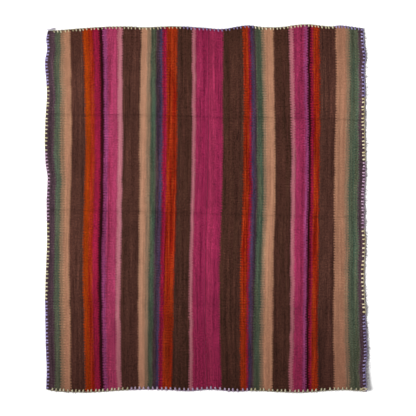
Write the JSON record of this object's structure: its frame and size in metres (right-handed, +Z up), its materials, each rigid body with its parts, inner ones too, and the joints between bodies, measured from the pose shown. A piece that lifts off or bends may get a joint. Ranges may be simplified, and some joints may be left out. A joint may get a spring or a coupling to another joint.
{
  "type": "woven blanket",
  "caption": "Striped wool blanket of two loom panels joined down the middle, laid flat with storage creases and a lifted corner, its rim blanket-stitched in lilac, yellow and mauve yarn.",
  "frame": {"origin": "on the floor under the middle of the laid blanket's outline", "axes": "+X across the blanket to the picture's right, +Y along its length to the picture's top, +Z up from the floor"},
  "size_m": [1.5138, 1.7284, 0.0235],
  "materials": {
    "wool_cloth": "matt warp-faced wool, dark brown with stripes of tan, green, plum, orange, crimson, magenta and pale pink",
    "yarn_lilac": "matt plied wool yarn, pale lilac",
    "yarn_yellow": "matt plied wool yarn, pale greenish yellow",
    "yarn_mauve": "matt plied wool yarn, dusty mauve"
  },
  "bodies": {
    "root": {"panel_left": "wool_cloth", "panel_right": "wool_cloth", "edging_left_1": "yarn_lilac", "edging_left_2": "yarn_yellow", "edging_left_3": "yarn_mauve", "edging_left_4": "yarn_yellow", "edging_left_5": "yarn_lilac", "edging_right_1": "yarn_lilac", "edging_right_2": "yarn_yellow", "edging_right_3": "yarn_mauve", "edging_right_4": "yarn_yellow", "edging_right_5": "yarn_lilac", "edging_top_1": "yarn_yellow", "edging_top_2": "yarn_lilac", "edging_top_3": "yarn_yellow", "edging_top_4": "yarn_lilac", "edging_bottom_1": "yarn_yellow", "edging_bottom_2": "yarn_lilac", "edging_bottom_3": "yarn_yellow"}
  },
  "joints": []
}
